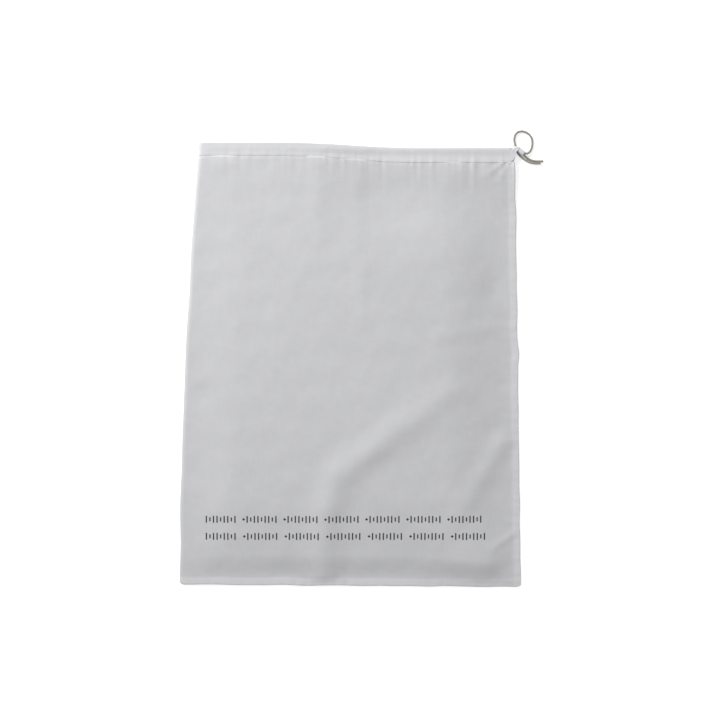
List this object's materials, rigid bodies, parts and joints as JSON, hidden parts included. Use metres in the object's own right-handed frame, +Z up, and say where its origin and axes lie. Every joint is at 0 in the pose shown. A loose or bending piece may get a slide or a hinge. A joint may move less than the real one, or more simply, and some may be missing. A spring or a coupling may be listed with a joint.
{
  "type": "laundry bag",
  "caption": "Flat cotton drawcord laundry bag: folded and sewn cloth, hemmed mouth with a cord channel, cord looped through a small sleeve at the corner.",
  "frame": {"origin": "centre of the bag's footprint, on the surface that it lies on", "axes": "+X towards the edge where the cord comes out, +Y towards the mouth, +Z up, out of the front"},
  "size_m": [0.426, 0.5354, 0.013],
  "materials": {
    "cloth": "matte plain weave, off-white",
    "thread": "matte sewing thread",
    "ink": "matte dark textile ink",
    "cord": "matte braided cord, taupe",
    "sleeve": "satin white plastic"
  },
  "bodies": {
    "bag": {"back_panel": "cloth", "front_panel": "cloth", "side_seam_allowance": "cloth", "bottom_seam_allowance": "cloth", "front_hem": "cloth", "back_hem": "cloth", "hem_fold_end": "cloth", "cord_outlet": "cloth", "front_hem_stitching": "thread", "back_hem_stitching": "thread", "side_seam_stitching": "thread", "bottom_seam_stitching": "thread", "printed_rows": "ink"},
    "drawcord": {"cord_front_run": "cord", "cord_back_run": "cord", "cord_far_turn": "cord", "cord_front_lead": "cord", "cord_back_lead": "cord", "cord_loop_strand": "cord", "cord_tail_strand": "cord", "cord_sleeve": "sleeve"}
  },
  "joints": [
    {"name": "drawcord_pull", "type": "slide", "parent": "bag", "child": "drawcord", "axis": [1, 0, 0], "range_m": [0, 0.15], "deforming": ["front_hem", "back_hem", "hem_fold_end", "cord_outlet"]}
  ]
}
